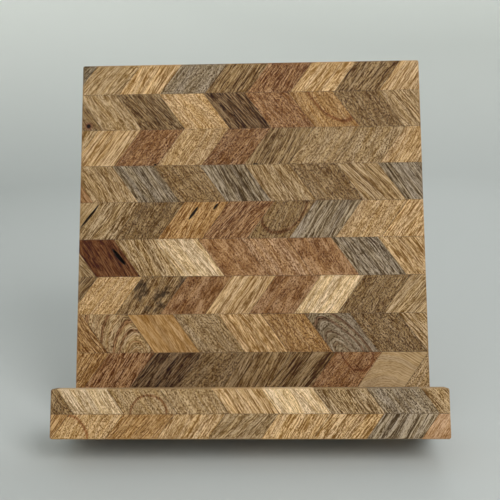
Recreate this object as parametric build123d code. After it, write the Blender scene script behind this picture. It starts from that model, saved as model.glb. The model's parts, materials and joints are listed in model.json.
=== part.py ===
from build123d import *
import os
from math import cos, radians, sin, tan

# Book stand of mango wood blocks. Millimetres, +X to the reader's right, -Y towards the
# reader, +Z up. A board laid in chevron courses leans back on a hinged prop leg and carries
# a ledge with an upright lip, which keeps the book from sliding off.

# Board
BOARD_WIDTH = 305.0
BOARD_HEIGHT = 324.0
BOARD_THICKNESS = 14.0
BOARD_LEAN = 20.0  # degrees back from upright
FOOT_FLAT = 8.0  # width of the flat planed on the lower back corner, which stands on the table
ARRIS = 1.0  # width of the small bevel that eases every outer edge

# Ledge and lip, as wide as the board
LEDGE_DEPTH = 56.0
LEDGE_THICKNESS = 14.0
LIP_HEIGHT = 38.0
LIP_THICKNESS = 14.0

# Blocks. The courses lean right and left by turns, and the board's top and bottom courses
# are sawn off to these shares of a full course.
BLOCK_SLANT = 36.0  # degrees from square
TOP_COURSE_SHARE = 0.84
BOTTOM_COURSE_SHARE = 0.92

# Joints between blocks at the middle of each course, from the left edge, as shares of the
# width. The courses of board and lip are given from the top down, the ledge's from the lip.
BOARD_JOINT_SHARES = (
    (0.012, 0.143, 0.267, 0.400, 0.525, 0.654, 0.784, 0.913),
    (0.025, 0.141, 0.269, 0.402, 0.524, 0.652, 0.784, 0.913),
    (0.010, 0.138, 0.266, 0.398, 0.523, 0.651, 0.782, 0.916),
    (0.002, 0.134, 0.255, 0.392, 0.522, 0.654, 0.791, 0.911),
    (0.018, 0.143, 0.269, 0.400, 0.531, 0.652, 0.784, 0.916),
    (0.013, 0.142, 0.261, 0.386, 0.513, 0.643, 0.772, 0.905),
    (0.018, 0.149, 0.278, 0.408, 0.533, 0.662, 0.786, 0.915),
    (0.052, 0.184, 0.316, 0.443, 0.567, 0.692, 0.820, 0.957),
    (0.056, 0.187, 0.323, 0.448, 0.579, 0.699, 0.830, 0.961),
    (0.050, 0.180, 0.312, 0.442, 0.571, 0.700, 0.828, 0.956),
)
LIP_JOINT_SHARES = (
    (0.038, 0.164, 0.300, 0.430, 0.556, 0.685, 0.818, 0.951),
    (0.026, 0.162, 0.293, 0.421, 0.552, 0.682, 0.815, 0.949),
)
LEDGE_JOINT_SHARES = (
    (0.060, 0.190, 0.315, 0.440, 0.570, 0.700, 0.820, 0.950),
    (0.025, 0.160, 0.290, 0.420, 0.550, 0.680, 0.810, 0.950),
)

# Prop leg, a tapered plank whose head is sawn to bear on the board when the leg is out
LEG_TILT = 15.0  # degrees from upright when the leg is out
LEG_THICKNESS = 12.0
LEG_HEAD_WIDTH = 66.0
LEG_FOOT_WIDTH = 98.0
LEG_HEAD_RISE = 18.0  # from the pin up to the top of the head
LEG_CORNER_RADIUS = 6.0
STOP_GAP = 0.2

# Butt hinge
PIN_HEIGHT = 215.0  # up the board's back
PIN_RADIUS = 1.2
PIN_CLEARANCE = 0.05
KNUCKLES = 5
KNUCKLE_RADIUS = 2.3
KNUCKLE_GAP = 0.3  # between a knuckle and what it turns past
HINGE_WIDTH = 50.0
LEAF_LENGTH = 18.0  # from the pin down to the leaf's edge
LEAF_THICKNESS = 1.2
LEAF_CORNER_RADIUS = 2.0
HINGE_SCREW_PLACE_SHARES = (-0.32, 0.32)  # across the leaf
HINGE_SCREW_DROP_SHARE = 0.62  # down the leaf

# Countersunk screws: shank radius, head radius, length
HINGE_SCREW = (1.3, 2.5, 9.0)
LEDGE_SCREW = (2.0, 3.5, 38.0)
LEDGE_SCREW_PLACE_SHARES = (-0.38, 0.0, 0.38)  # across the board
SCREW_TIP_SHARE = 0.25  # of the length
SCREW_CLEARANCE = 0.05

# Dowels between ledge and lip
DOWEL_RADIUS = 3.0
DOWEL_IN_LIP = 8.0
DOWEL_IN_LEDGE = 16.0
DOWEL_CLEARANCE = 0.1
DOWEL_PLACE_SHARES = (-0.37, 0.0, 0.37)  # across the ledge

CUT_OVERRUN = 40.0  # how far a cutting shape runs past what it cuts

lean = radians(BOARD_LEAN)
tilt = radians(LEG_TILT)
opened = lean + tilt
full_courses = len(BOARD_JOINT_SHARES) - 2
course_height = BOARD_HEIGHT / (TOP_COURSE_SHARE + full_courses + BOTTOM_COURSE_SHARE)
foot_rise = (BOARD_THICKNESS - FOOT_FLAT * cos(lean)) * sin(lean)
pin_stand_off = KNUCKLE_RADIUS + KNUCKLE_GAP
leaf_screw_drop = HINGE_SCREW_DROP_SHARE * LEAF_LENGTH

# The board's own frame: X across, Y up its face, Z out of the face, from its lower front edge.
board_frame = Plane(origin=(0, 0, foot_rise), x_dir=(1, 0, 0), z_dir=(0, -cos(lean), sin(lean)))
pin_place = board_frame.from_local_coords(Vector(0, PIN_HEIGHT, -BOARD_THICKNESS - pin_stand_off))
# The leg's own frame: X across, Y down the leg, Z away from the board, from the pin.
leg_frame = Plane(origin=pin_place, x_dir=(1, 0, 0), z_dir=(0, cos(tilt), sin(tilt)))


def slab(width, low, high):
    """A plank across the middle of a frame, between two corners given as (y, z)."""
    size = (width, high[0] - low[0], high[1] - low[1])
    return Pos(-width / 2, low[0], low[1]) * Box(*size, align=(Align.MIN,) * 3)


def panel(height, thickness):
    """A plank as wide as the board, standing on the X axis with its face at Z zero."""
    return slab(BOARD_WIDTH, (0, -thickness), (height, 0))


def eased(solid, sharp_edges):
    """Bevels every edge of a plank apart from the sharp ones."""
    return chamfer(solid.edges() - sharp_edges, ARRIS)


def blocks(plank, joint_shares, low, high, side):
    """The slanted blocks of one course, cut from a plank between two heights."""
    run = side * (high - low) * tan(radians(BLOCK_SLANT)) / 2
    joints = [(share - 1 / 2) * BOARD_WIDTH for share in joint_shares]
    right_edge = BOARD_WIDTH / 2 + CUT_OVERRUN
    starts = [(-right_edge, -right_edge)] + [(x - run, x + run) for x in joints]
    ends = starts[1:] + [(right_edge, right_edge)]
    pieces = []
    for (left_low, left_high), (right_low, right_high) in zip(starts, ends):
        corners = ((left_low, low), (right_low, low), (right_high, high), (left_high, high))
        prism = extrude(Polygon(*corners, align=None), CUT_OVERRUN, both=True)
        pieces += (plank & prism).solids()
    return pieces


def courses(plank, joint_shares, heights, first_side):
    """Every course of a plank, from the top down, with the blocks leaning by turns."""
    made = []
    for number, shares in enumerate(joint_shares):
        side = first_side * (-1) ** number
        made.append(blocks(plank, shares, heights[number + 1], heights[number], side))
    return made


def screw_shape(shank, head, length, grown=0.0):
    """A countersunk screw along -Z with its head's top at the origin, or its seat if grown."""
    outline = Polygon(
        (0, 0),
        (head + grown, 0),
        (shank + grown, shank - head),
        (shank + grown, -length * (1 - SCREW_TIP_SHARE)),
        (0, -length - grown),
        align=None,
    )
    return revolve(Plane.XZ * outline, Axis.Z)


def screws(size, places):
    return [place * screw_shape(*size) for place in places]


def screw_seats(size, places):
    return [place * screw_shape(*size, grown=SCREW_CLEARANCE) for place in places]


def moved(place, solids):
    return [place * solid for solid in solids]


def facing(x, y, z, normal):
    """A place whose X runs across and whose Z is the normal."""
    return Plane(origin=(x, y, z), x_dir=(1, 0, 0), z_dir=normal).location


def hinge_leaf(own_knuckles):
    """A leaf in its pin's frame: X along the pin, Y down the leaf, Z towards its plank."""
    inner = pin_stand_off - LEAF_THICKNESS
    leaf = slab(HINGE_WIDTH, (pin_stand_off, inner), (LEAF_LENGTH, pin_stand_off))
    leaf = fillet(leaf.edges().filter_by(Axis.Z).group_by(Axis.Y)[-1], LEAF_CORNER_RADIUS)
    pitch = HINGE_WIDTH / KNUCKLES
    width = pitch - KNUCKLE_GAP
    knuckle = Rot(0, 90, 0) * Cylinder(KNUCKLE_RADIUS, width)
    knuckle += slab(width, (0, inner), (pin_stand_off, pin_stand_off))
    for number in own_knuckles:
        leaf += Pos((number + 1 / 2) * pitch - HINGE_WIDTH / 2, 0, 0) * knuckle
    leaf -= Rot(0, 90, 0) * Cylinder(PIN_RADIUS + PIN_CLEARANCE, HINGE_WIDTH)
    return leaf - screw_seats(HINGE_SCREW, leaf_screw_places)


def prop_leg():
    """The leg in its own frame, with a foot flat on the table and a bevelled head."""
    near = pin_stand_off
    far = pin_stand_off + LEG_THICKNESS
    near_reach, far_reach = [(pin_place.Z + z * sin(tilt)) / cos(tilt) for z in (near, far)]
    bevel_start = (STOP_GAP - pin_stand_off - near * cos(opened)) / sin(opened)
    bevel_end = (STOP_GAP - pin_stand_off + LEG_HEAD_RISE * sin(opened)) / cos(opened)
    profile = Polygon(
        (near_reach, near),
        (far_reach, far),
        (-LEG_HEAD_RISE, far),
        (-LEG_HEAD_RISE, bevel_end),
        (bevel_start, near),
        align=None,
    )
    head = LEG_HEAD_WIDTH / 2
    foot = LEG_FOOT_WIDTH / 2
    front = Polygon(
        (-head, -LEG_HEAD_RISE),
        (head, -LEG_HEAD_RISE),
        (foot, far_reach),
        (-foot, far_reach),
        align=None,
    )
    front = fillet(front.vertices().group_by(Axis.Y)[0], LEG_CORNER_RADIUS)
    leg = extrude(Plane.YZ * profile, LEG_FOOT_WIDTH, both=True) & extrude(front, far)
    sharp = leg.faces().sort_by(Axis.Y)[-1].edges()
    leg = chamfer(leg.faces().sort_by(Axis.Z)[-1].edges() - sharp, ARRIS)
    return leg - screw_seats(HINGE_SCREW, leaf_screw_places)


# Fasteners: the leaf's in its pin's frame, the others in the board's frame
leaf_screw_places = [
    facing(share * HINGE_WIDTH, leaf_screw_drop, pin_stand_off - LEAF_THICKNESS, (0, 0, -1))
    for share in HINGE_SCREW_PLACE_SHARES
]
board_leaf_place = Pos(0, PIN_HEIGHT, -BOARD_THICKNESS - pin_stand_off) * Rot(0, 0, 180)
board_leaf_screw_places = [board_leaf_place * place for place in leaf_screw_places]
ledge_screw_places = [
    facing(share * BOARD_WIDTH, LEDGE_THICKNESS / 2, -BOARD_THICKNESS, (0, 0, -1))
    for share in LEDGE_SCREW_PLACE_SHARES
]
dowel_places = [
    Pos(share * BOARD_WIDTH, LEDGE_THICKNESS / 2, LEDGE_DEPTH + (DOWEL_IN_LIP - DOWEL_IN_LEDGE) / 2)
    for share in DOWEL_PLACE_SHARES
]
dowel_length = DOWEL_IN_LIP + DOWEL_IN_LEDGE
dowel = Cylinder(DOWEL_RADIUS, dowel_length - 2 * DOWEL_CLEARANCE)
dowels = [place * dowel for place in dowel_places]
dowel_holes = [place * Cylinder(DOWEL_RADIUS + DOWEL_CLEARANCE, dowel_length) for place in dowel_places]

# Board
board = panel(BOARD_HEIGHT, BOARD_THICKNESS)
board = eased(board, board.faces().sort_by(Axis.Y)[0].edges())
board -= screw_seats(LEDGE_SCREW, ledge_screw_places)
board -= screw_seats(HINGE_SCREW, board_leaf_screw_places)
table = Pos(0, 0, -CUT_OVERRUN / 2) * Box(2 * BOARD_WIDTH, 2 * BOARD_HEIGHT, CUT_OVERRUN)
board -= board_frame.location.inverse() * table
seams = [(BOTTOM_COURSE_SHARE + number) * course_height for number in range(full_courses + 1)]
board_courses = courses(board, BOARD_JOINT_SHARES, [BOARD_HEIGHT] + seams[::-1] + [0], 1)

# Ledge and lip, cut in frames of their own in which they stand as the board does
ledge_place = facing(0, 0, 0, (0, -1, 0))
ledge = panel(LEDGE_DEPTH, LEDGE_THICKNESS)
joined_faces = ledge.faces().group_by(Axis.Y)
ledge = eased(ledge, joined_faces[0].edges() + joined_faces[-1].edges())
ledge -= moved(ledge_place.inverse(), screw_seats(LEDGE_SCREW, ledge_screw_places) + dowel_holes)
ledge_courses = courses(ledge, LEDGE_JOINT_SHARES, [LEDGE_DEPTH, LEDGE_DEPTH / 2, 0], 1)
lip_place = Pos(0, 0, LEDGE_DEPTH + LIP_THICKNESS)
lip = panel(LIP_HEIGHT, LIP_THICKNESS)
lip = eased(lip, lip.edges().filter_by(Axis.X).group_by(Axis.Z)[0].sort_by(Axis.Y)[:1])
lip -= moved(lip_place.inverse(), dowel_holes)
lip_courses = courses(lip, LIP_JOINT_SHARES, [LIP_HEIGHT, LIP_HEIGHT / 2, 0], -1)

# Nodes in the board's frame and in the leg's frame
on_board = {f"course_{number}": course for number, course in enumerate(board_courses, 1)}
for number, course in enumerate(ledge_courses, 1):
    on_board[f"ledge_course_{number}"] = moved(ledge_place, course)
for number, course in enumerate(lip_courses, 1):
    on_board[f"lip_course_{number}"] = moved(lip_place, course)
on_board["lip_dowels"] = dowels
on_board["ledge_screws"] = screws(LEDGE_SCREW, ledge_screw_places)
on_board["hinge_board_leaf"] = [board_leaf_place * hinge_leaf(range(0, KNUCKLES, 2))]
on_board["hinge_board_screws"] = screws(HINGE_SCREW, board_leaf_screw_places)
on_board["hinge_pin"] = [board_leaf_place * Rot(0, 90, 0) * Cylinder(PIN_RADIUS, HINGE_WIDTH)]
on_leg = {
    "prop_leg": [prop_leg()],
    "hinge_leg_leaf": [hinge_leaf(range(1, KNUCKLES, 2))],
    "hinge_leg_screws": screws(HINGE_SCREW, leaf_screw_places),
}
nodes = {name: moved(board_frame.location, solids) for name, solids in on_board.items()}
nodes |= {name: moved(leg_frame.location, solids) for name, solids in on_leg.items()}

# The origin is on the table, under the middle of the whole stand.
stand = Compound(children=[solid for solids in nodes.values() for solid in solids])
middle = stand.bounding_box().center()
centred = Pos(-middle.X, -middle.Y, 0)
print("Pin of the hinge at", (centred * Pos(*pin_place)).position)
os.makedirs("parts", exist_ok=True)
for name, solids in nodes.items():
    export_step(Compound(children=moved(centred, solids)), f"parts/{name}.step")
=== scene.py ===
import json
from math import cos, degrees, pi, radians, sin, sqrt, tan
from random import Random

import bmesh
import bpy
from mathutils import Matrix, Vector


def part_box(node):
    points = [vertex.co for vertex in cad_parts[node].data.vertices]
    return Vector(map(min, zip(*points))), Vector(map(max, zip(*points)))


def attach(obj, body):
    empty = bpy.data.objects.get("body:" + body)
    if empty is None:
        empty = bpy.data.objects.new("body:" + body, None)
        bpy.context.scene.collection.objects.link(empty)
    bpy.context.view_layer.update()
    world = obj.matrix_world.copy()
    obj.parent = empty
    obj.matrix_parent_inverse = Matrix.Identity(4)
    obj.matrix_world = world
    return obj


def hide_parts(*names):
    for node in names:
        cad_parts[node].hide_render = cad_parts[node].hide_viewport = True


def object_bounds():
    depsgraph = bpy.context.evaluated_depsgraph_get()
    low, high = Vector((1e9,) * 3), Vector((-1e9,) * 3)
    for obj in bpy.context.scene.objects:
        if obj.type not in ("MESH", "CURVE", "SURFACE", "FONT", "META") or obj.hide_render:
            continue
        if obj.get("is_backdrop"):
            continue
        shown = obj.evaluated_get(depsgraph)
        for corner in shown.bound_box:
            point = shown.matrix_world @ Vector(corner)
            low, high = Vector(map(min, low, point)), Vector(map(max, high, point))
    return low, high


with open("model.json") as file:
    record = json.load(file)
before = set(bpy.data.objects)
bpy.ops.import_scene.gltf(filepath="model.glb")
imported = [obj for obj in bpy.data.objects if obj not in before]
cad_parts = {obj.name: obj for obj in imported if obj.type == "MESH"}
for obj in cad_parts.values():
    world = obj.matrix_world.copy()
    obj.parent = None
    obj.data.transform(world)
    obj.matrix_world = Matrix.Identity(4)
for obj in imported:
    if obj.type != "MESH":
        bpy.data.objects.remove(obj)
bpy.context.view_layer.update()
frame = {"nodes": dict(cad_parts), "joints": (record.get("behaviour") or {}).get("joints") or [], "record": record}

# The looks of a chevron-laid mango wood book stand. Lengths are in millimetres unless a name
# says otherwise, and MM turns them into the scene's metres.
MM = 0.001

# Blocks, arrises and round parts
BLOCK_SLANT = radians(36)
ARRIS = 1.25
CORNER_RADIUS = 1.8
HAIRLINE = 0.16  # bevel of a block along its glued joints
ARRIS_STEPS = (0.0, HAIRLINE, 0.45, ARRIS)  # depths of an arris's rings below the face
TOUCH = 0.05  # how near a corner lies to the line that it belongs to
JOINTS_APART = 1.0  # joints that lie nearer than this are one
ARC_STEPS = 4
ROUND_SIDES = 32
WOOD_FACE, JOINT_FACE, CRACK_FACE = range(3)  # material numbers of a block's faces

# Leg and hinge, as the frame's pieces have them
LEG_TILT = radians(15)
LEG_HEAD_WIDTH = 66.0
LEG_FOOT_WIDTH = 98.0
LEG_HEAD_RISE = 18.0
LEG_CORNER_RADIUS = 6.0
LEG_ARRIS = 1.1
STOP_GAP = 0.2
KNUCKLES = 5
KNUCKLE_RADIUS = 2.3
KNUCKLE_GAP = 0.3
PIN_RADIUS = 1.2
PIN_CLEARANCE = 0.05
HINGE_WIDTH = 50.0
LEAF_LENGTH = 18.0
LEAF_THICKNESS = 1.2
LEAF_CORNER_RADIUS = 2.0
PIN_STAND_OFF = KNUCKLE_RADIUS + KNUCKLE_GAP
HINGE_SCREW = (1.3, 2.5, 9.0)  # radius of the shank, radius of the head, length
LEDGE_SCREW = (2.0, 3.5, 38.0)
SCREW_TIP = 0.05
SCREW_POINT_SHARE = 0.75
SCREW_SPACING_SHARE = 3
HEAD_EASE = 0.12
HEAD_SINK = 0.1
SEAT_CLEARANCE = 0.12
SEAT_DEPTH = 1.5
RECESS_SHARES = (0.58, 0.13, 0.55)  # an arm's length, its half width and the depth, of the head
RECESS_ARM_SHARES = (0.45, 0.8, 1.1)  # of the arm's length, at the bottom, on the way and on top
RECESS_STEP_SHARE = 0.3
RECESS_OVERRUN = 0.2
CURL_ANGLES = range(90, 391, 15)  # degrees of a rolled knuckle about its pin
PIN_EASE = 0.3
LEG_ARC_STEPS = 6
LEG_ARRIS_STEPS = 3
SHARP = radians(25)

# Camera, fitted to the photograph
CAMERA_PLACE = (21.0, -605.7, 289.1)
CAMERA_TURN = (76.83, 0.98, 1.78)  # degrees
CAMERA_LENS = 51.48
SENSOR_WIDTH = 36.0
NEAREST_SEEN = 0.01  # metres

# Studio, in metres: a round floor, the curve at its edge, and the lamps' places, sizes and watts
FLOOR_RADIUS = 1.6
FLOOR_SHARES = (0.6, 0.8, 1.0)
FLOOR_SIDES = 96
CURVE_RADIUS = 0.9
CURVE_STEPS = 24
BACKDROP_HEIGHT = 3.2
PAPER_COLOURS = ((190, 193, 191), (248, 250, 245))
PAPER_FADE = 600.0  # millimetres up to the brighter paper
SKY_COLOUR = (0.93, 0.97, 1.0, 1.0)
SKY_STRENGTH = 0.51
LAMPS = (
    ("key", (1.0, -1.25, 1.35), 0.9, 21.5),
    ("fill", (-1.3, -1.3, 0.9), 1.4, 5.4),
    ("rear", (0.5, 1.5, 1.4), 1.2, 8.0),
)

# The kinds of mango wood, as round sRGB bytes, and how far a block may drift from its kind, as a
# share. Which block is of which kind is named one by one.
TONES = {
    "pale": (200, 175, 140), "straw": (175, 145, 105), "tan": (155, 130, 95),
    "honey": (155, 120, 75), "brown": (130, 105, 70), "russet": (135, 100, 65),
    "grey": (130, 115, 95), "dark": (100, 75, 45), "ebony": (85, 45, 10),
    "pink": (165, 130, 95),
}
TONE_DRIFT = 0.05

# Figure of the grain, as strengths of streaks, flecks and zebra stripes, of clouds, rings and knot,
# and of fibres, bands and burl. Rings below RING_LIMIT are a single line of LINE_RADIUS, and rings
# below zero only bend the grain.
RING_LIMIT = 0.7
LINE_RADIUS = 12.0
FIGURES = {
    "plain": ((0.3, 0.1, 0.0), (0.4, 0.0, 0.0), (0.35, 0.6, 0.0)),
    "fine": ((0.4, 0.3, 0.0), (0.2, 0.0, 0.0), (0.6, 0.6, 0.0)),
    "streaked": ((0.65, 0.4, 0.0), (0.2, 0.0, 0.0), (0.75, 0.9, 0.0)),
    "flecked": ((0.25, 1.15, 0.0), (0.35, 0.0, 0.0), (0.45, 0.6, 0.0)),
    "striped": ((0.8, 0.25, 0.4), (0.1, 0.0, 0.0), (0.6, 1.0, 0.0)),
    "zebra": ((0.7, 0.25, 1.0), (0.0, 0.0, 0.0), (0.6, 1.0, 0.0)),
    "cloudy": ((0.15, 0.35, 0.0), (1.2, 0.0, 0.0), (0.35, 0.3, 0.1)),
    "arched": ((0.1, 1.1, 0.0), (0.2, 1.2, 0.0), (0.4, 0.3, 0.0)),
    "ringed": ((0.2, 0.3, 0.0), (0.3, 1.2, 0.0), (0.35, 0.3, 0.0)),
    "bent": ((0.2, 0.1, 0.0), (0.3, -1.2, 0.0), (0.15, 0.3, 0.0)),
    "lined": ((0.3, 0.6, 0.0), (0.3, 0.35, 0.0), (0.4, 0.5, 0.0)),
    "knotted": ((0.7, 0.3, 0.0), (0.2, 0.0, 1.0), (0.7, 1.0, 0.0)),
    "burled": ((0.7, 0.4, 0.0), (0.5, 0.0, 0.0), (0.8, 0.8, 1.0)),
}

FACE_VALUES = ("tone", "stripes", "figure", "body")  # what is set by face, and not by point
END_FIGURE = 0.3  # share of the figure that shows where the grain ends
END_FADE = 1.3  # how soon that share is reached as a face turns towards the grain's end

# The grain makes every tone lighter and darker by equal steps as they show on a display, and its
# hue drifts between two multipliers
DISPLAY_GAMMA = 2.2
TONE_START = 0.5
LIGHTEST_TONE = 1.05
DARKEST_TONE = -1.3
MIDDLE_TONE = 0.22
TONE_CONTRAST = 0.18
DARKEST = 0.05
COOLEST = (1.02, 1.0, 0.99, 1)
WARMEST = (1.04, 1.0, 0.92, 1)

# What stains the wood: multipliers for rings and dark patches, sRGB bytes for a knot, and where
# the knot's halo and core start and are full
RING_STAIN = (0.56, 0.38, 0.27, 1)
PATCH_STAIN = (0.24, 0.22, 0.22, 1)
HALO_COLOUR = (104, 56, 36)
HALO_RADII = (4.4, 2.2)
HALO_STRENGTH = 0.8
CORE_COLOUR = (26, 12, 8)
CORE_RADII = (2.3, 1.5)

# Other materials, each from one colour to another
GLUE_COLOURS = ((52, 36, 24), (104, 80, 56))
# The cracks' inside walls: darker wood together with painted shade, as deep down in a crack
CRACK_SHADE_COLOURS = ((20, 14, 10), (44, 28, 18))
BRASS_COLOURS = ((208, 176, 108), (150, 118, 66))
ZINC_COLOURS = ((214, 204, 160), (176, 160, 108))
BEECH_COLOURS = ((178, 142, 104), (214, 182, 144))

# How each block is cut from its tree
GRAIN_SWAY = 7  # degrees to either side of the block's length
GRAIN_ROLL = 60  # degrees about its length
GRAIN_SPAN = 900  # how far apart the places of the grain may lie
HEART_REACH = 30  # from a block's middle to the heart of its tree, unless HEARTS has one
HEART_LENGTH = 2.5
HEART_DEPTH_SHARE = 0.3

# Blocks of each course from left to right, each a tone and a figure
BOARD_WOODS = (
    "grey streaked, tan fine, straw striped, grey flecked, brown striped, russet streaked, "
    "straw streaked, brown streaked, straw striped",
    "brown knotted, tan fine, brown streaked, straw flecked, dark striped, russet flecked, "
    "honey lined, brown flecked, tan streaked",
    "tan fine, straw striped, russet flecked, straw flecked, russet flecked, brown striped, "
    "tan flecked, tan flecked, straw fine",
    "russet plain, tan streaked, grey streaked, brown flecked, grey striped, tan streaked, "
    "brown flecked, tan striped, grey striped",
    "tan plain, tan streaked, brown flecked, honey streaked, russet streaked, brown lined, "
    "grey striped, straw flecked, straw streaked",
    "tan striped, ebony plain, tan streaked, pale fine, russet cloudy, pink flecked, "
    "russet cloudy, grey streaked, straw streaked",
    "brown striped, straw flecked, brown burled, russet cloudy, straw striped, russet cloudy, "
    "pale fine, brown flecked, tan striped",
    "honey streaked, tan arched, honey plain, tan flecked, straw streaked, honey flecked, "
    "grey ringed, brown flecked, tan streaked",
    "honey streaked, russet streaked, dark striped, brown flecked, brown striped, brown zebra, "
    "russet lined, tan bent, tan flecked",
    "brown streaked, russet plain, tan streaked, brown flecked, honey plain, tan striped, "
    "russet plain, straw plain, brown plain",
)
LIP_WOODS = (
    "brown flecked, pale fine, tan lined, tan flecked, straw striped, pale fine, tan streaked, "
    "grey flecked, tan streaked",
    "honey striped, straw lined, honey fine, straw streaked, tan fine, straw streaked, "
    "straw streaked, grey zebra, pink plain",
)
LEDGE_WOODS = (
    "straw plain, brown streaked, tan streaked, grey flecked, honey plain, tan streaked, "
    "straw flecked, russet plain, tan striped",
    "tan plain, honey streaked, brown striped, straw plain, russet flecked, tan streaked, "
    "brown streaked, straw plain, grey flecked",
)
LEG_WOOD = "brown fine"
LEG_ROLL = radians(20)

# Middles of the rings in some blocks, by piece and block number: place from the panel's upper left
# corner, lean of the rings' long axis to the left, how much longer than wide they are, and the
# radius of a single line
HEARTS = {
    "course_2 0": (6.5, 57.0, 0, 1.0, LINE_RADIUS),
    "course_2 6": (222.0, 30.0, 38, 2.4, 13.0),
    "course_5 5": (183.0, 133.0, -36, 1.5, 17.0),
    "course_7 2": (62.0, 216.0, -36, 1.4, LINE_RADIUS),
    "course_8 1": (54.0, 268.0, 12, 1.8, LINE_RADIUS),
    "course_8 6": (234.0, 264.0, 38, 2.6, LINE_RADIUS),
    "course_9 6": (243.0, 260.0, 30, 1.3, 13.0),
    "course_9 7": (268.0, 312.0, 0, 1.0, LINE_RADIUS),
    "lip_course_1 2": (76.0, 19.0, 0, 1.0, 14.0),
    "lip_course_2 1": (12.0, 37.0, 0, 1.0, 17.0),
}

# Cracks and open joints of the board: both ends from its upper left corner, width, depth
OVERRUN = 0.5  # how far a cutter stands out of the face that it cuts
CRACK_STEPS = 10
CRACK_BLUNTNESS = 0.6
CRACK_FLOOR_SHARE = 0.8
CRACKS = {
    "course_5": (
        ((0.5, 150.5), (18.0, 128.6), 1.9, 4.0),
        ((97.5, 144.0), (106.5, 131.5), 2.5, 3.0),
        ((119.5, 135.0), (124.0, 129.0), 2.1, 2.0),
    ),
    "course_6": (((29.5, 168.5), (42.5, 184.0), 3.6, 5.0),),
    "course_3": (((66.3, 93.0), (68.8, 93.9), 2.0, 2.0), ((154.5, 94.2), (160.5, 94.4), 2.4, 1.2)),
}


def linear(colour):
    """An sRGB byte colour as linear values with alpha."""
    shares = [byte / 255 for byte in colour]
    return [s / 12.92 if s <= 0.04045 else ((s + 0.055) / 1.055) ** 2.4 for s in shares] + [1.0]


def drifted(colour, seed):
    """A kind of wood a little lighter or darker, as timber varies."""
    share = 1 + Random(f"{seed} drift").uniform(-TONE_DRIFT, TONE_DRIFT)
    return [byte * share for byte in colour]


def axes(x_axis, y_axis, z_axis, origin):
    """A place in the frame from its three directions."""
    return Matrix.Translation(origin) @ Matrix((x_axis, y_axis, z_axis)).transposed().to_4x4()


class Graph:
    """A material's nodes. An input takes a number, a colour, a vector or another node's output."""

    def __init__(self, name):
        self.material = bpy.data.materials.new(name)
        self.material.use_nodes = True
        self.tree = self.material.node_tree
        self.tree.nodes.clear()

    def node(self, kind, inputs, **settings):
        made = self.tree.nodes.new(kind)
        for key, value in settings.items():
            setattr(made, key, value)
        for key, value in inputs.items():
            if isinstance(value, bpy.types.NodeSocket):
                self.tree.links.new(value, made.inputs[key])
            else:
                made.inputs[key].default_value = value
        return made

    def place(self):
        """A piece's own coordinates in millimetres."""
        own = self.node("ShaderNodeTexCoord", {}).outputs["Object"]
        return self.vector("MULTIPLY", own, [1 / MM] * 3)

    def attribute(self, name, output="Vector"):
        return self.node("ShaderNodeAttribute", {}, attribute_name=name).outputs[output]

    def math(self, operation, *values):
        """The result of an operation on numbers."""
        return self.node("ShaderNodeMath", dict(enumerate(values)), operation=operation).outputs[0]

    def vector(self, operation, *values):
        """The result of an operation on vectors."""
        inputs = dict(enumerate(values))
        if operation == "SCALE":
            inputs = {"Vector": values[0], "Scale": values[1]}
        made = self.node("ShaderNodeVectorMath", inputs, operation=operation)
        return made.outputs["Value" if operation == "LENGTH" else "Vector"]

    def split(self, vector):
        return self.node("ShaderNodeSeparateXYZ", {0: vector}).outputs

    def join(self, *values):
        return self.node("ShaderNodeCombineXYZ", dict(enumerate(values))).outputs[0]

    def noise(self, place, sizes, detail=2.0, roughness=0.55):
        """Noise whose lumps measure these sizes along the three axes."""
        scaled = self.vector("MULTIPLY", place, [1 / size for size in sizes])
        inputs = {"Vector": scaled, "Scale": 1.0, "Detail": detail, "Roughness": roughness}
        return self.node("ShaderNodeTexNoise", inputs).outputs[0]

    def specks(self, place, sizes):
        """Distance from the nearest of many scattered specks, in shares of these sizes."""
        scaled = self.vector("MULTIPLY", place, [1 / size for size in sizes])
        return self.node("ShaderNodeTexVoronoi", {"Vector": scaled, "Scale": 1.0}).outputs["Distance"]

    def ridge(self, value, width):
        """One where a noise is at its middle, falling to zero on both sides: thin lines."""
        return self.range(self.math("ABSOLUTE", self.math("SUBTRACT", value, 0.5)), width, 0.0)

    def range(self, value, low, high, to_low=0.0, to_high=1.0):
        """A value between low and high as a share of another range."""
        inputs = {0: value, 1: low, 2: high, 3: to_low, 4: to_high}
        return self.node("ShaderNodeMapRange", inputs).outputs[0]

    def mix(self, factor, first, second, mode="MIX"):
        inputs = {0: factor, 6: first, 7: second}
        return self.node("ShaderNodeMix", inputs, data_type="RGBA", blend_type=mode).outputs[2]

    def between(self, factor, colours):
        """A mix of two colours that are given as sRGB bytes."""
        return self.mix(factor, linear(colours[0]), linear(colours[1]))

    def gamma(self, colour, power):
        """A colour raised to a power."""
        return self.node("ShaderNodeGamma", {0: colour, 1: power}).outputs[0]

    def bump(self, height, strength, distance):
        inputs = {"Height": height, "Strength": strength, "Distance": distance * MM}
        return self.node("ShaderNodeBump", inputs).outputs[0]

    def surface(self, **inputs):
        """The finished material, from the inputs of its surface with _ for each space."""
        named = {key.replace("_", " "): value for key, value in inputs.items()}
        shader = self.node("ShaderNodeBsdfPrincipled", named)
        self.node("ShaderNodeOutputMaterial", {"Surface": shader.outputs[0]})
        return self.material


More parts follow.
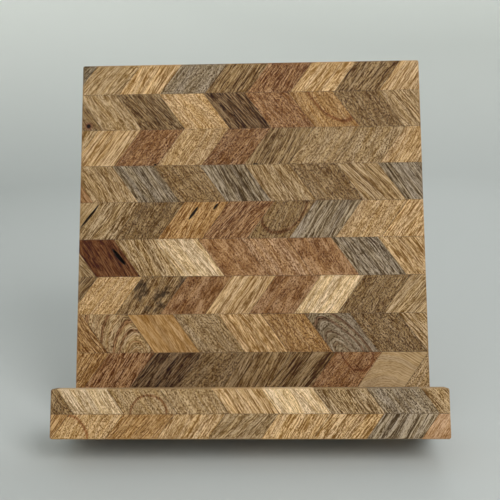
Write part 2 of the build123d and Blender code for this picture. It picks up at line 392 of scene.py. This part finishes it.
def mango():
    """Oiled mango wood that reads each block's own grain, tone and figure, with noise lumps sized
    in millimetres along, across and into the grain."""
    g = Graph("mango")
    place = g.attribute("grain")
    along, across, deep = g.split(place)[:3]
    streaks, flecks, zebra = g.split(g.attribute("stripes"))[:3]
    clouds, rings, knot = g.split(g.attribute("figure"))[:3]
    fibre, band, burl = g.split(g.attribute("body"))[:3]
    colour = g.attribute("tone", "Color")

    wander = g.range(g.noise(place, (60, 14, 14)), 0.3, 0.7, -1.4, 1.4)
    ripple = g.range(g.noise(place, (8, 3.2, 3.2)), 0.3, 0.7, -0.1, 0.1)
    far = g.vector("LENGTH", g.attribute("heart"))
    bent = g.math("GREATER_THAN", g.math("ABSOLUTE", rings), RING_LIMIT)
    across = g.math("MULTIPLY_ADD", g.math("SUBTRACT", far, across), bent, across)
    shifted = g.math("ADD", across, g.math("ADD", wander, ripple))
    grain = g.join(along, shifted, deep)

    bands = g.range(g.noise(grain, (120, 6, 9)), 0.36, 0.64, -0.5, 0.5)
    fibres = g.range(g.noise(grain, (9, 0.6, 0.9), 2.0, 0.6), 0.43, 0.57, -0.6, 0.4)
    threads = g.range(g.noise(grain, (34, 0.62, 0.95), 2.0, 0.6), 0.415, 0.585, -0.6, 0.4)
    pale = g.range(g.noise(grain, (40, 0.7, 1.1), 1.0, 0.6), 0.53, 0.61)
    dark = g.ridge(g.noise(grain, (40, 1.3, 2.0), 1.0, 0.6), 0.06)
    stripes = g.range(g.noise(grain, (110, 2.4, 4.0), 1.0), 0.47, 0.53, -0.5, 0.5)
    dashes = g.range(g.specks(grain, (1.8, 0.66, 0.75)), 0.44, 0.28)
    mist = g.range(g.noise(place, (13, 8, 8), 3.0), 0.4, 0.6, -0.5, 0.5)
    blots = g.range(g.noise(place, (15, 11, 11), 3.0), 0.5, 0.64)
    ochre = g.range(g.noise(grain, (90, 4.0, 7)), 0.38, 0.62)

    ring_place = g.math("ADD", far, g.math("MULTIPLY", wander, 0.5))
    spacing = g.node("ShaderNodeTexNoise", {"W": ring_place, "Scale": 0.2, "Detail": 1.0},
                     noise_dimensions="1D").outputs[0]
    line = g.math("ABSOLUTE", g.math("SUBTRACT", ring_place, LINE_RADIUS))
    ring = g.mix(bent, g.range(line, 1.1, 0.3), g.ridge(spacing, 0.045))
    ring = g.math("MULTIPLY", ring, g.range(rings, 0.0, 0.3))

    lines = g.math("SUBTRACT", pale, dark)
    tone = TONE_START
    for layer, strength, share in (
        (fibres, fibre, 2.5), (threads, streaks, 2.3), (bands, band, 0.5), (lines, streaks, 0.6),
        (stripes, zebra, 1.4), (dashes, flecks, -5.4), (mist, clouds, 0.75),
    ):
        tone = g.math("MULTIPLY_ADD", g.math("MULTIPLY", layer, strength), share, tone)
    tone = g.math("SMOOTH_MAX", g.math("SMOOTH_MIN", tone, LIGHTEST_TONE, 0.5), DARKEST_TONE, 0.4)
    shade = g.math("MULTIPLY", g.math("SUBTRACT", tone, MIDDLE_TONE), TONE_CONTRAST)
    warmth = g.mix(ochre, COOLEST, WARMEST)
    wood = g.mix(1.0, g.gamma(colour, 1 / DISPLAY_GAMMA), warmth, "MULTIPLY")
    wood = g.vector("MAXIMUM", g.vector("ADD", wood, g.join(shade, shade, shade)), [DARKEST] * 3)
    wood = g.gamma(wood, DISPLAY_GAMMA)
    wood = g.mix(ring, wood, g.mix(1.0, wood, RING_STAIN, "MULTIPLY"))
    dark_patch = g.mix(1.0, wood, PATCH_STAIN, "MULTIPLY")
    wood = g.mix(g.math("MULTIPLY", blots, burl), wood, dark_patch)
    halo = g.math("MULTIPLY", g.range(far, *HALO_RADII), knot)
    core = g.math("MULTIPLY", g.range(far, *CORE_RADII), knot)
    wood = g.mix(g.math("MULTIPLY", halo, HALO_STRENGTH), wood, linear(HALO_COLOUR))
    wood = g.mix(core, wood, linear(CORE_COLOUR))

    height = g.math("MULTIPLY_ADD", g.math("MULTIPLY", dashes, flecks), -0.8, fibres)
    return g.surface(
        Base_Color=wood,
        Roughness=g.range(fibres, -0.5, 0.5, 0.66, 0.54),
        Specular_IOR_Level=0.18,
        Normal=g.bump(height, 0.3, 0.12),
    )


def patchy(name, colours, size, roughness):
    """A dull material that wanders between two colours in patches."""
    g = Graph(name)
    patches = g.range(g.noise(g.place(), (size, size, size)), 0.35, 0.65)
    return g.surface(Base_Color=g.between(patches, colours), Roughness=roughness)


def metal(name, colours, polish):
    """Satin metal with tarnish in patches and fine scratches."""
    g = Graph(name)
    place = g.place()
    tarnish = g.range(g.noise(place, (6, 6, 6), 4.0, 0.6), 0.38, 0.66)
    scratches = g.noise(place, (9, 0.25, 0.25), 2.0)
    return g.surface(
        Base_Color=g.between(tarnish, colours),
        Metallic=1.0,
        Roughness=g.range(tarnish, 0.0, 1.0, polish, polish + 0.2),
        Normal=g.bump(scratches, 0.15, 0.03),
    )


def beech():
    """Raw dowel wood with fine rays."""
    g = Graph("beech")
    rays = g.range(g.noise(g.place(), (0.6, 5, 0.6), 3.0), 0.35, 0.65)
    return g.surface(
        Base_Color=g.between(rays, BEECH_COLOURS),
        Roughness=0.7,
        Normal=g.bump(rays, 0.2, 0.05),
    )


def set_attributes(mesh, values):
    """Writes a mesh's values by name, as vectors of three or colours of four numbers."""
    for name, rows in values.items():
        coloured = len(rows[0]) == 4
        kind = "FLOAT_COLOR" if coloured else "FLOAT_VECTOR"
        layer = mesh.attributes.new(name, kind, "FACE" if name in FACE_VALUES else "POINT")
        layer.data.foreach_set("color" if coloured else "vector", [x for row in rows for x in row])


def wood_values(mesh, wood, turn, roll, seed, heart=None):
    """The values that the mango material reads, for a block or plank in its own frame."""
    points = [vertex.co for vertex in mesh.vertices]
    tone, figure = wood.split()
    draw = Random(seed)
    middle = sum(points, Vector()) / len(points)
    along = Matrix.Rotation(turn, 3, "Z") @ Vector((1, 0, 0))
    if heart is None:
        heart = middle + along * draw.choice((-HEART_REACH, HEART_REACH))
        heart = (heart.x, heart.y, degrees(pi / 2 - turn), HEART_LENGTH, LINE_RADIUS)
    heart_x, heart_y, lean, longer, radius = heart
    squeeze = Matrix.Diagonal((1, 1 / longer, HEART_DEPTH_SHARE))
    to_heart = squeeze @ Matrix.Rotation(radians(-lean), 3, "Z")
    to_heart *= LINE_RADIUS / radius
    offset = Vector([draw.uniform(0, GRAIN_SPAN) for axis in range(3)])
    to_grain = Matrix.Rotation(roll, 3, "X") @ Matrix.Rotation(-turn, 3, "Z")
    values = {
        "grain": [to_grain @ (point - middle) + offset for point in points],
        "heart": [to_heart @ (point - Vector((heart_x, heart_y, 0))) for point in points],
        "tone": [linear(drifted(TONES[tone], seed))] * len(mesh.polygons),
    }
    facing = [min(1.0, END_FADE * abs(face.normal.dot(along))) for face in mesh.polygons]
    fades = [1 - (1 - END_FIGURE) * share for share in facing]
    for name, triple in zip(("stripes", "figure", "body"), FIGURES[figure]):
        values[name] = [[share * fade for share in triple] for fade in fades]
    return values


class Outline:
    """A convex outline whose sides know how they meet what lies beyond them."""

    def __init__(self, corners, sides):
        self.corners = [Vector(corner) for corner in corners]
        self.sides = list(sides)

    def clipped(self, point, inward, side):
        """What lies inwards of a line. The new side takes the given mark."""
        corners, sides = [], []
        heights = [(corner - point).dot(inward) for corner in self.corners]
        heights = [0.0 if abs(height) < TOUCH else height for height in heights]
        for number, corner in enumerate(self.corners):
            following = (number + 1) % len(self.corners)
            here, there = heights[number], heights[following]
            if here >= 0:
                corners.append(corner)
                sides.append(side if here == 0 and there < 0 else self.sides[number])
            if here * there < 0:
                corners.append(corner.lerp(self.corners[following], here / (here - there)))
                sides.append(side if here > 0 else self.sides[number])
        return Outline(corners, sides)

    def inset(self, distances):
        """The corners after each side has moved inwards by its distance."""
        lines = []
        for number, corner in enumerate(self.corners):
            run = (self.corners[(number + 1) % len(self.corners)] - corner).normalized()
            inward = Vector((-run.y, run.x))
            lines.append((corner + inward * distances[number], run))
        moved = []
        for number, (point, run) in enumerate(lines):
            other_point, other_run = lines[number - 1]
            reach = (point - other_point).cross(run) / other_run.cross(run)
            moved.append(other_point + other_run * reach)
        return moved


def rounded(corners, radii, steps=ARC_STEPS):
    """A polygon's corners as arcs: each point, and the number of the corner that it is from."""
    made = []
    for number, radius in enumerate(radii):
        corner = Vector(corners[number])
        if not radius:
            made.append((corner, number))
            continue
        before = (Vector(corners[number - 1]) - corner).normalized()
        after = (Vector(corners[(number + 1) % len(corners)]) - corner).normalized()
        half = before.angle(after) / 2
        centre = corner + (before + after).normalized() * radius / sin(half)
        spoke = corner + before * radius / tan(half) - centre
        for step in range(steps + 1):
            turn = Matrix.Rotation((pi - 2 * half) * step / steps, 2)
            made.append((centre + turn @ spoke, number))
    return made


def panel_outline(width, height, eased):
    """A panel's outline, with the front and back arris of each side from the bottom side on."""
    square = ((-width / 2, 0), (width / 2, 0), (width / 2, height), (-width / 2, height))
    free = [eased[number - 1][0] > 0 and eased[number][0] > 0 for number in range(len(eased))]
    radii = [CORNER_RADIUS if both else 0.0 for both in free]
    corners, sides = [], []
    for number, radius in enumerate(radii):
        arc = [point for point, corner in rounded(square, radii) if corner == number]
        for step, point in enumerate(arc):
            share = min(1.0, (step + 0.5) / max(1, len(arc) - 1)) if radius else 1.0
            before, after = eased[number - 1], eased[number]
            corners.append(point)
            sides.append(tuple(b + (a - b) * share for b, a in zip(before, after)))
    return Outline(corners, sides)


def arris_inset(arris, depth):
    """How far a rounded arris lies inwards of its side at a depth below the face."""
    if depth >= arris:
        return 0.0
    return arris - sqrt(arris ** 2 - (arris - depth) ** 2)


def side_insets(outline, arris, depth):
    """How far each side lies inwards at a depth below the front (arris 0) or the back (arris 1)."""
    joint = HAIRLINE if depth == 0 else 0.0
    return [joint if side == "joint" else arris_inset(side[arris], depth) for side in outline.sides]


def block_mesh(outline, thickness):
    """A block from the face at zero down to its back, with hairline joints and rounded arrises."""
    levels = [(-depth, side_insets(outline, 0, depth)) for depth in ARRIS_STEPS]
    levels += [(depth - thickness, side_insets(outline, 1, depth)) for depth in ARRIS_STEPS[::-1]]
    shape = bmesh.new()
    rings = [[shape.verts.new((*corner, z)) for corner in outline.inset(insets)]
             for z, insets in levels]
    shape.faces.new(rings[0])
    shape.faces.new(reversed(rings[-1]))
    count = len(outline.corners)
    for upper, lower in zip(rings, rings[1:]):
        for number in range(count):
            following = (number + 1) % count
            wall = shape.faces.new((lower[number], lower[following], upper[following], upper[number]))
            wall.material_index = JOINT_FACE if outline.sides[number] == "joint" else WOOD_FACE
    return shape


def shape_mesh(shape, name):
    """A finished mesh from a bmesh, which it uses up."""
    mesh = bpy.data.meshes.new(name)
    shape.to_mesh(mesh)
    shape.free()
    return mesh


def lofted(rings):
    """A skin through rings of corners, with a cap at each end."""
    shape = bmesh.new()
    loops = [[shape.verts.new(corner) for corner in ring] for ring in rings]
    count = len(loops[0])
    shape.faces.new(reversed(loops[0]))
    shape.faces.new(loops[-1])
    for lower, upper in zip(loops, loops[1:]):
        for number in range(count):
            following = (number + 1) % count
            shape.faces.new((lower[number], lower[following], upper[following], upper[number]))
    return shape


def turned(profile):
    """A solid turned about Z through (radius, height) points, from its lowest ring to its highest."""
    angles = [2 * pi * number / ROUND_SIDES for number in range(ROUND_SIDES)]
    return lofted([[(radius * cos(a), radius * sin(a), z) for a in angles] for radius, z in profile])


def prism(outline, low, high):
    """A flat outline's solid between two heights."""
    return lofted([[(*corner, z) for corner in outline] for z in (low, high)])


def cut_off(shape, place, point, normal):
    """Saws off what lies beyond a plane of the frame from a shape in its own place."""
    inverse = place.inverted()
    bmesh.ops.bisect_plane(shape, geom=shape.verts[:] + shape.edges[:] + shape.faces[:],
                           plane_co=inverse @ point / MM, plane_no=inverse.to_3x3() @ normal,
                           clear_outer=True)
    for face in bmesh.ops.holes_fill(shape, edges=shape.edges[:])["faces"]:
        face.material_index = WOOD_FACE


def add_object(name, data):
    """Links a new object into the scene."""
    made = bpy.data.objects.new(name, data)
    bpy.context.scene.collection.objects.link(made)
    return made


def dress(mesh, materials):
    """Gives a mesh its materials, unless it has them."""
    for material in materials[len(mesh.materials):]:
        mesh.materials.append(material)


def carved(mesh, cutters, materials=()):
    """The mesh with each cutter taken from it, which leaves the cutter's own material in the cut."""
    for part in [mesh] + cutters:
        dress(part, materials)
    host = add_object("carved", mesh)
    tools = []
    for cutter in cutters:
        tool = add_object("cutter", cutter)
        tools.append(tool)
        modifier = host.modifiers.new("cut", "BOOLEAN")
        modifier.operation = "DIFFERENCE"
        modifier.solver = "EXACT"
        modifier.object = tool
    cut = host.evaluated_get(bpy.context.evaluated_depsgraph_get())
    made = bpy.data.meshes.new_from_object(cut)
    for used in [host] + tools:
        bpy.data.objects.remove(used)
    return made


def add_piece(name, mesh, place, materials, body, slot, *nodes):
    """Puts a mesh in millimetres into the scene, where it stands for CAD nodes."""
    mesh.transform(place @ Matrix.Scale(MM, 4))
    dress(mesh, materials)
    piece = add_object(name, mesh)
    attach(piece, body)
    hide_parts(*nodes)


def crack_cutter(start, end, width, depth, panel_height):
    """A long lens that splits the board's face between two places given from its upper left corner."""
    first, last = [Vector((x - board_width / 2, panel_height - y)) for x, y in (start, end)]
    run = last - first
    across_run = Vector((-run.y, run.x)).normalized() * width / 2
    shares = [step / CRACK_STEPS for step in range(1, CRACK_STEPS)]
    bulges = [across_run * sin(pi * share) ** CRACK_BLUNTNESS for share in shares]
    left = [first + run * share + bulge for share, bulge in zip(shares, bulges)]
    right = [first + run * share - bulge for share, bulge in zip(shares, bulges)]
    outline = [first] + right + [last] + left[::-1]
    middle = (first + last) / 2
    bottom = [middle + (corner - middle) * CRACK_FLOOR_SHARE for corner in outline]
    rings = [[(*corner, -depth) for corner in bottom], [(*corner, OVERRUN) for corner in outline]]
    cutter = shape_mesh(lofted(rings), "crack")
    # the cut's walls take the cracks' colours of darker wood and painted shade
    for face in cutter.polygons:
        face.material_index = CRACK_FACE
    return cutter


# The frame's own directions: the board's face and the leg
mounts = {mount["name"]: mount for mount in frame["record"]["mounts"]}
across = Vector((1, 0, 0))
up = Vector(mounts["book_ledge"]["axis"]).normalized()
out = Vector(mounts["book_rest"]["axis"]).normalized()
rest_place = Vector(mounts["book_rest"]["pos_m"])


def reach(node, axis, origin):
    """How far a node goes along a direction of the frame, down and up from a place."""
    spans = [(vertex.co - origin).dot(axis) for vertex in frame["nodes"][node].data.vertices]
    return min(spans), max(spans)


origin = rest_place + up * reach("ledge_course_2", up, rest_place)[0]
origin.x = 0
board_width = 2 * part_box("course_1")[1].x / MM
board_place = axes(across, up, out, origin)
ledge_place = axes(across, out, -up, origin)
lip_place = axes(across, up, out, origin + out * reach("lip_course_1", out, origin)[1])
board_thickness = -reach("course_1", out, origin)[0] / MM

# Each panel's place, woods, lean of its first course, arrises of its sides and material slot
EASED = (ARRIS, ARRIS)
panels = {
    "course": (board_place, BOARD_WOODS, 1, ((0, 0), EASED, EASED, EASED), "mango_board"),
    "ledge_course": (ledge_place, LEDGE_WOODS, 1, ((0, 0), EASED, (0, 0), EASED), "mango_ledge"),
    "lip_course": (lip_place, LIP_WOODS, -1, ((ARRIS, 0), EASED, EASED, EASED), "mango_lip"),
}


def cad_points(node, place):
    """A node's corners in a panel's own frame."""
    inverse = place.inverted()
    return [inverse @ vertex.co / MM for vertex in frame["nodes"][node].data.vertices]


def joints_between(points, low, high, thickness, side):
    """Where the joints of a course cross its middle, from the corners that lie on its edges."""
    run = side * tan(BLOCK_SLANT) * (high - low) / 2
    found = []
    for x, y, z in points:
        on_face = min(-z, z + thickness) < ARRIS + TOUCH
        if on_face and abs(x) < board_width / 2 - 2 * ARRIS:
            if abs(y - low) < TOUCH:
                found.append(x + run)
            elif abs(y - high) < TOUCH:
                found.append(x - run)
    found.sort()
    return [x for before, x in zip([-board_width] + found, found) if x - before > JOINTS_APART]


def course_blocks(kind, number, panel_height, cutters):
    """The blocks of one course as a mesh in its panel's frame, with the values that its wood reads."""
    place, woods, first_side, eased = panels[kind][:4]
    node = f"{kind}_{number}"
    side = first_side * (-1) ** (number - 1)
    points = cad_points(node, place)
    low, high = min(p.y for p in points), max(p.y for p in points)
    thickness = -min(p.z for p in points)
    middle = (low + high) / 2
    joints = joints_between(points, low, high, thickness, side)
    course = panel_outline(board_width, panel_height, eased)
    course = course.clipped(Vector((0, low)), Vector((0, 1)), "joint")
    course = course.clipped(Vector((0, high)), Vector((0, -1)), "joint")
    slope = Vector((cos(BLOCK_SLANT), -side * sin(BLOCK_SLANT)))
    whole = bmesh.new()
    values = {}
    for index, wood in enumerate(woods[number - 1].split(", ")):
        outline = course
        if index > 0:
            outline = outline.clipped(Vector((joints[index - 1], middle)), slope, "joint")
        if index < len(joints):
            outline = outline.clipped(Vector((joints[index], middle)), -slope, "joint")
        block = block_mesh(outline, thickness)
        cut_off(block, place, Vector(), Vector((0, 0, -1)))
        shape = shape_mesh(block, node)
        if cutters:
            shape = carved(shape, [cutter.copy() for cutter in cutters], dressing)
        draw = Random(f"{node} {index}")
        turn = pi / 2 - side * BLOCK_SLANT + radians(draw.uniform(-GRAIN_SWAY, GRAIN_SWAY))
        roll = radians(draw.uniform(-GRAIN_ROLL, GRAIN_ROLL))
        heart = HEARTS.get(f"{node} {index}")
        if heart:
            roll = 0
            heart = (heart[0] - board_width / 2, panel_height - heart[1], *heart[2:])
        for key, rows in wood_values(shape, wood, turn, roll, f"{node} {index} wood", heart).items():
            values.setdefault(key, []).extend(rows)
        whole.from_mesh(shape)
    mesh = shape_mesh(whole, f"{node}_blocks")
    set_attributes(mesh, values)
    return mesh


def screw_mesh(shank, head, length, turn):
    """A countersunk screw along -Z from its head's top at zero, with a cross recess."""
    cone = head - shank
    profile = [(SCREW_TIP, -length), (shank, -SCREW_POINT_SHARE * length), (shank, -cone)]
    profile += [(head, -HEAD_EASE), (head - HEAD_EASE, 0)]
    wide, thin, depth = [share * head for share in RECESS_SHARES]
    heights = (-depth, -RECESS_STEP_SHARE * depth, RECESS_OVERRUN)
    rings = []
    for z, share in zip(heights, RECESS_ARM_SHARES):
        arm = wide * share
        rings.append([])
        for quarter in range(4):
            spin = Matrix.Rotation(turn + quarter * pi / 2, 2)
            rings[-1] += [(*(spin @ Vector(c)), z) for c in ((arm, -thin), (arm, thin), (thin, thin))]
    return carved(shape_mesh(turned(profile), "screw"), [shape_mesh(lofted(rings), "recess")])


def seat_cutter(head):
    """What sinks a countersunk head into a face at Z zero."""
    wide = head + SEAT_CLEARANCE
    profile = [(wide - SEAT_DEPTH, -SEAT_DEPTH), (wide, 0), (wide, OVERRUN)]
    return shape_mesh(turned(profile), "seat")


def screw_places(points, head):
    """The middles of a row of alike screws, from the corners of their heads."""
    middle_y = (max(p.y for p in points) + min(p.y for p in points)) / 2
    lefts = []
    for x in sorted(p.x for p in points):
        if not lefts or x - lefts[-1] > SCREW_SPACING_SHARE * head:
            lefts.append(x)
    return [(x + head, middle_y) for x in lefts]


def screws_piece(name, node, body, slot, material, place, size):
    """The screws of a CAD node, heads towards Z, each with its slots turned its own way."""
    points = cad_points(node, place)
    top = max(p.z for p in points)
    whole = bmesh.new()
    for number, (x, y) in enumerate(screw_places(points, size[1])):
        screw = screw_mesh(*size, Random(f"{name} {number}").uniform(0, pi / 2))
        screw.transform(Matrix.Translation((x, y, top - HEAD_SINK)))
        whole.from_mesh(screw)
    add_piece(name, shape_mesh(whole, name), place, (material,), body, slot, node)


def leaf_mesh(knuckles, screw_middles):
    """A rolled hinge leaf in its pin's frame: X along the pin, Y down the leaf, Z towards its plank."""
    inner = PIN_STAND_OFF - LEAF_THICKNESS
    half = HINGE_WIDTH / 2
    square = [(-half, PIN_STAND_OFF), (half, PIN_STAND_OFF), (half, LEAF_LENGTH), (-half, LEAF_LENGTH)]
    outline = [p for p, number in rounded(square, (0, 0, LEAF_CORNER_RADIUS, LEAF_CORNER_RADIUS))]
    plate = shape_mesh(prism(outline, inner, PIN_STAND_OFF), "plate")
    cutters = []
    for x, y in screw_middles:
        cutter = seat_cutter(HINGE_SCREW[1])
        cutter.transform(Matrix.Translation((x, y, inner)) @ Matrix.Rotation(pi, 4, "X"))
        cutters.append(cutter)
    plate = carved(plate, cutters)
    bore = PIN_RADIUS + PIN_CLEARANCE
    curl = [radians(angle) for angle in CURL_ANGLES]
    roll = [(PIN_STAND_OFF, PIN_STAND_OFF), (KNUCKLE_RADIUS / 2, PIN_STAND_OFF - KNUCKLE_GAP / 4)]
    roll += [(KNUCKLE_RADIUS * cos(a), KNUCKLE_RADIUS * sin(a)) for a in curl]
    roll += [(bore * cos(a), bore * sin(a)) for a in reversed(curl)]
    roll += [(PIN_STAND_OFF, inner)]
    pitch = HINGE_WIDTH / KNUCKLES
    whole = bmesh.new()
    whole.from_mesh(plate)
    for number in knuckles:
        left = number * pitch - half + KNUCKLE_GAP / 2
        ends = (left, left + pitch - KNUCKLE_GAP)
        knuckle = shape_mesh(lofted([[(x, y, z) for y, z in roll] for x in ends]), "knuckle")
        whole.from_mesh(knuckle)
    bmesh.ops.recalc_face_normals(whole, faces=whole.faces[:])
    return shape_mesh(whole, "leaf")


def leg_mesh(place):
    """The prop leg in its own frame, sawn off flat on the table and along the board's back."""
    points = cad_points("prop_leg", place)
    foot_reach = max(p.y for p in points)
    near, far = min(p.z for p in points), max(p.z for p in points)
    head, foot = LEG_HEAD_WIDTH / 2, LEG_FOOT_WIDTH / 2
    square = [(-head, -LEG_HEAD_RISE), (head, -LEG_HEAD_RISE), (foot, foot_reach), (-foot, foot_reach)]
    radii = (LEG_CORNER_RADIUS, LEG_CORNER_RADIUS, 0, 0)
    outline = [p for p, number in rounded(square, radii, LEG_ARC_STEPS)]
    shape = prism(outline, near, far)
    stop = origin - out * (board_thickness + STOP_GAP) * MM
    cut_off(shape, place, Vector(), Vector((0, 0, -1)))
    cut_off(shape, place, stop, out)
    bmesh.ops.recalc_face_normals(shape, faces=shape.faces[:])
    sharp = [edge for edge in shape.edges if edge.calc_face_angle(0) > SHARP]
    bmesh.ops.bevel(shape, geom=sharp, offset=LEG_ARRIS, segments=LEG_ARRIS_STEPS, profile=0.5,
                    affect="EDGES")
    cut_off(shape, place, Vector(), Vector((0, 0, -1)))
    mesh = shape_mesh(shape, "leg")
    set_attributes(mesh, wood_values(mesh, LEG_WOOD, pi / 2, LEG_ROLL, "leg"))
    return mesh


wood = mango()
glue = patchy("glue_line", GLUE_COLOURS, 9, 0.8)
# painted shade, with darker wood, on the cracks' inside walls
crack_shade = patchy("shadow_wood", CRACK_SHADE_COLOURS, 3, 0.9)
dressing = (wood, glue, crack_shade)  # in the order of WOOD_FACE, JOINT_FACE and CRACK_FACE
brass = metal("hinge_brass", BRASS_COLOURS, 0.28)
zinc = metal("yellow_zinc", ZINC_COLOURS, 0.3)

back = Matrix.Translation((0, 0, -board_thickness * MM))
half_turn = Matrix.Rotation(pi, 4, "X")
back_place = board_place @ back @ Matrix.Rotation(pi, 4, "Y")  # so that screw heads face Z


def ledge_screw_seats():
    """The cutters of the ledge screws' seats, in the board's frame."""
    cutters = []
    for x, y in screw_places(cad_points("ledge_screws", board_place), LEDGE_SCREW[1]):
        cutter = seat_cutter(LEDGE_SCREW[1])
        cutter.transform(Matrix.Translation((x, y, -board_thickness)) @ Matrix.Rotation(pi, 4, "Y"))
        cutters.append(cutter)
    return cutters


def build_panel(kind):
    """The courses of one panel, each a piece."""
    place, woods, first_side, eased, slot = panels[kind]
    nodes = [f"{kind}_{number}" for number in range(1, len(woods) + 1)]
    panel_height = max(p.y for node in nodes for p in cad_points(node, place))
    for number, node in enumerate(nodes, 1):
        cutters = [crack_cutter(*crack, panel_height) for crack in CRACKS.get(node, ())]
        if kind == "course" and node == nodes[-1]:
            cutters += ledge_screw_seats()
        mesh = course_blocks(kind, number, panel_height, cutters)
        add_piece(f"{node}_blocks", mesh, place, dressing, "stand", slot, node)


def build_leaf(node, body, place, knuckles):
    """A hinge leaf with its screws."""
    screw_node = f"{node}_screws"
    middles = screw_places(cad_points(screw_node, place), HINGE_SCREW[1])
    leaf = leaf_mesh(knuckles, middles)
    add_piece(f"{node}_leaf_rolled", leaf, place, (brass,), body, "hinge_brass", f"{node}_leaf")
    screws_piece(f"{screw_node}_crossed", screw_node, body, "screw_brass", brass,
                 place @ half_turn, HINGE_SCREW)


def build_pin(place):
    """The hinge pin with eased ends."""
    end = HINGE_WIDTH / 2
    half_profile = [(PIN_RADIUS - PIN_EASE, end), (PIN_RADIUS, end - PIN_EASE)]
    profile = [(radius, -z) for radius, z in half_profile] + half_profile[::-1]
    rod = shape_mesh(turned(profile), "rod")
    along_pin = place @ Matrix.Rotation(pi / 2, 4, "Y")
    add_piece("hinge_pin_rod", rod, along_pin, (brass,), "stand", "hinge_brass", "hinge_pin")


for kind in panels:
    build_panel(kind)

pin = Vector(frame["joints"][0]["pos_m"])
leg_down = Vector((0, sin(LEG_TILT), -cos(LEG_TILT)))
leg_out = Vector((0, cos(LEG_TILT), sin(LEG_TILT)))
leg_place = axes(across, leg_down, leg_out, pin)
board_leaf_place = axes(-across, -up, out, pin)

add_piece("leg_plank", leg_mesh(leg_place), leg_place, (wood,), "leg", "mango_leg", "prop_leg")
build_leaf("hinge_board", "stand", board_leaf_place, range(0, KNUCKLES, 2))
build_leaf("hinge_leg", "leg", leg_place, range(1, KNUCKLES, 2))
screws_piece("ledge_screws_crossed", "ledge_screws", "stand", "zinc_screw", zinc,
             back_place, LEDGE_SCREW)
build_pin(leg_place)

dowel_slots = frame["nodes"]["lip_dowels"].data.materials
dowel_slots.clear()
dowel_slots.append(beech())


def studio_floor():
    """A pale floor that curves up into a round backdrop."""
    profile = [(share * FLOOR_RADIUS, 0.0) for share in FLOOR_SHARES]
    for step in range(1, CURVE_STEPS + 1):
        angle = step * pi / 2 / CURVE_STEPS
        profile.append((FLOOR_RADIUS + CURVE_RADIUS * sin(angle), CURVE_RADIUS * (1 - cos(angle))))
    profile.append((FLOOR_RADIUS + CURVE_RADIUS, BACKDROP_HEIGHT))
    shape = bmesh.new()
    angles = [2 * pi * number / FLOOR_SIDES for number in range(FLOOR_SIDES)]
    rings = [[shape.verts.new((radius * cos(a), radius * sin(a), z)) for a in angles]
             for radius, z in profile]
    shape.faces.new(rings[0])
    for lower, upper in zip(rings, rings[1:]):
        for t in range(FLOOR_SIDES):
            face = shape.faces.new((lower[t - 1], lower[t], upper[t], upper[t - 1]))
            face.smooth = True
    g = Graph("studio_paper")
    height = g.split(g.place())[2]
    paper = g.between(g.range(height, 0.0, PAPER_FADE), PAPER_COLOURS)
    mesh = shape_mesh(shape, "studio_floor")
    mesh.materials.append(g.surface(Base_Color=paper, Roughness=0.9, Specular_IOR_Level=0.1))
    add_object("studio_floor", mesh)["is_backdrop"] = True


def studio_light():
    """Soft light from the sky and from lamps that face the stand's middle."""
    world = bpy.data.worlds.new("studio_world")
    world.use_nodes = True
    background = world.node_tree.nodes["Background"]
    background.inputs["Color"].default_value = SKY_COLOUR
    background.inputs["Strength"].default_value = SKY_STRENGTH
    bpy.context.scene.world = world
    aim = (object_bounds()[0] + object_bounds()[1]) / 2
    for name, place, size, power in LAMPS:
        lamp = bpy.data.lights.new(name, "AREA")
        lamp.size = size
        lamp.energy = power
        made = add_object(name, lamp)
        made.location = place
        made.rotation_euler = (aim - Vector(place)).to_track_quat("-Z", "Y").to_euler()
        made.visible_camera = False


def camera():
    """The camera of the photograph."""
    data = bpy.data.cameras.new("camera")
    data.lens = CAMERA_LENS
    data.sensor_width = SENSOR_WIDTH
    data.clip_start = NEAREST_SEEN
    made = add_object("camera", data)
    made.location = Vector(CAMERA_PLACE) * MM
    made.rotation_euler = [radians(angle) for angle in CAMERA_TURN]
    bpy.context.scene.camera = made


studio_floor()
studio_light()
camera()
bpy.context.scene.view_settings.view_transform = "Standard"
